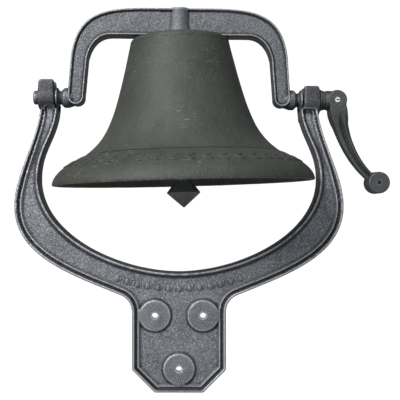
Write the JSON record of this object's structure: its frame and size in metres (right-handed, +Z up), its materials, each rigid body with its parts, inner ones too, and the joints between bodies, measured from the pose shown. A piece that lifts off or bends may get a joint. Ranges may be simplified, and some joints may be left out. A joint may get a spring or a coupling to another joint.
{
  "type": "yard dinner bell",
  "caption": "Cast-iron dinner bell that swings in a yoke on a post-mounted bracket, with a free clapper and a pull crank on the axle.",
  "frame": {"origin": "point on the flat back of the bracket's plate, midway between the upper bolt holes sideways and 270 mm under the left bearing's centre", "axes": "+Z up, +X along the axle towards the crank, +Y out of the plate's back into the post"},
  "size_m": [0.4294, 0.3, 0.4406],
  "materials": {
    "bracket_iron": "painted sand casting, worn bright on the edges",
    "yoke_iron": "painted sand casting",
    "bell_iron": "dark weathered casting, speckled bright lip",
    "forged_steel": "dark forged steel",
    "fastener_steel": "dull steel",
    "clapper_iron": "dark casting, bright on its edges",
    "pin_steel": "satin steel",
    "crank_iron": "painted sand casting",
    "spring_pin_steel": "bright spring steel"
  },
  "bodies": {
    "bracket": {"post_bracket": "bracket_iron"},
    "swing": {"yoke": "yoke_iron", "bell": "bell_iron", "crown_stud": "forged_steel", "crown_washer": "fastener_steel", "crown_lock_washer": "fastener_steel", "crown_nut": "fastener_steel", "clapper_pin": "pin_steel", "clapper_cotter": "pin_steel", "crank": "crank_iron", "crank_washer": "fastener_steel", "crank_pin": "spring_pin_steel"},
    "clapper": {"clapper": "clapper_iron"}
  },
  "joints": [
    {"name": "bell_swing", "type": "hinge", "parent": "bracket", "child": "swing", "pos_m": [0, -0.014, 0.2684], "axis": [0.9999, 0, -0.0105], "continuous": true},
    {"name": "clapper_swing", "type": "hinge", "parent": "swing", "child": "clapper", "pos_m": [0.00193, -0.014, 0.29051], "axis": [0.9997, 0, 0.0262], "range_deg": [-40, 40]}
  ]
}
